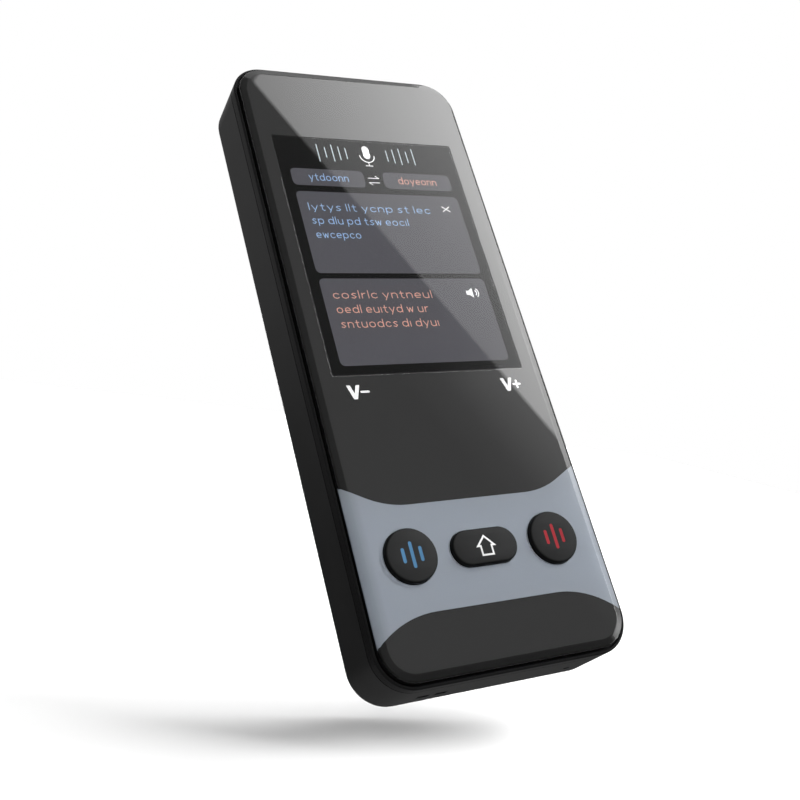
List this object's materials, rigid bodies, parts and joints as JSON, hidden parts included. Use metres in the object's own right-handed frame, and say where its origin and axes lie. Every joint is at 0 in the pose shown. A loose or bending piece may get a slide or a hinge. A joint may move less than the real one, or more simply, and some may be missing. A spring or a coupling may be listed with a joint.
{
  "type": "handheld translator",
  "caption": "Slim slab-shaped handheld voice translator with a glass front, a colour screen, a row of sprung keys, a side key, a charging port and a strap eyelet.",
  "frame": {"origin": "middle of the back face, on the plane that the translator lies on", "axes": "+X across to the side key's wall, +Y along the length to the end with the charging port, +Z out of the glass front"},
  "size_m": [0.0487, 0.122, 0.0149],
  "materials": {
    "case_plastic": "fine moulded texture",
    "frame_plastic": "satin",
    "carrier_plastic": "moulded",
    "cover_glass": "polished",
    "ink_black": "printed ink",
    "ink_grey": "printed ink",
    "ink_white": "printed ink",
    "tape": "adhesive tape",
    "sensor_film": "clear film",
    "flex": "polyimide film",
    "lcd_glass": "polarised glass",
    "backlight_film": "light guide",
    "tray_steel": "stamped",
    "foam": "closed-cell foam",
    "board_laminate": "solder mask",
    "can_steel": "tinned",
    "chip_resin": "moulded resin",
    "connector_plastic": "moulded",
    "key_plastic": "satin",
    "icon_blue": "moulded inlay",
    "icon_red": "moulded inlay",
    "icon_white": "moulded inlay",
    "plunger_plastic": "moulded",
    "switch_steel": "stamped",
    "usb_steel": "drawn",
    "battery_foil": "laminated foil",
    "battery_tape": "tape",
    "lead_red": "insulated wire",
    "plug_plastic": "moulded",
    "speaker_steel": "stamped",
    "cone_film": "pressed film",
    "magnet": "nickel plated",
    "mesh_fabric": "woven",
    "contact_brass": "gold plated",
    "mic_metal": "plated",
    "rubber": "moulded",
    "screw_steel": "blackened"
  },
  "bodies": {
    "case": {"rear_shell": "case_plastic", "front_frame": "frame_plastic", "front_carrier": "carrier_plastic", "cover_glass": "cover_glass", "printed_border": "ink_black", "printed_band": "ink_grey", "printed_marks": "ink_white", "glass_tape": "tape", "touch_sensor": "sensor_film", "touch_flex": "flex", "lcd_panel": "lcd_glass", "display_backlight": "backlight_film", "display_tray": "tray_steel", "display_flex": "flex", "display_foam": "foam", "main_board": "board_laminate", "flex_connectors": "connector_plastic", "processor_can": "can_steel", "radio_can": "can_steel", "board_chips": "chip_resin", "left_key_switch": "switch_steel", "home_key_switch": "switch_steel", "right_key_switch": "switch_steel", "side_key_switch": "switch_steel", "usb_port": "usb_steel", "usb_tongue": "connector_plastic", "battery_cell": "battery_foil", "battery_tape": "battery_tape", "battery_board": "board_laminate", "battery_leads": "lead_red", "battery_connector": "plug_plastic", "speaker_frame": "speaker_steel", "speaker_cone": "cone_film", "speaker_magnet": "magnet", "speaker_gasket": "rubber", "speaker_mesh": "mesh_fabric", "speaker_springs": "contact_brass", "microphone": "mic_metal", "mic_boot": "rubber", "antenna": "flex", "antenna_springs": "contact_brass", "board_screws": "screw_steel", "case_screws": "screw_steel"},
    "left_talk_key": {"left_key": "key_plastic", "left_key_icon": "icon_blue", "left_key_plunger": "plunger_plastic"},
    "home_key_cap": {"home_key": "key_plastic", "home_key_icon": "icon_white", "home_key_plunger": "plunger_plastic"},
    "right_talk_key": {"right_key": "key_plastic", "right_key_icon": "icon_red", "right_key_plunger": "plunger_plastic"},
    "power_key": {"side_key": "frame_plastic", "side_key_plunger": "plunger_plastic"}
  },
  "joints": [
    {"name": "left_key_press", "type": "slide", "parent": "case", "child": "left_talk_key", "axis": [0, 0, -1], "range_m": [0, 0.00035], "stiffness_N_per_m": 400},
    {"name": "home_key_press", "type": "slide", "parent": "case", "child": "home_key_cap", "axis": [0, 0, -1], "range_m": [0, 0.00035], "stiffness_N_per_m": 400},
    {"name": "right_key_press", "type": "slide", "parent": "case", "child": "right_talk_key", "axis": [0, 0, -1], "range_m": [0, 0.00035], "stiffness_N_per_m": 400},
    {"name": "side_key_press", "type": "slide", "parent": "case", "child": "power_key", "axis": [-1, 0, 0], "range_m": [0, 0.0003], "stiffness_N_per_m": 400}
  ]
}
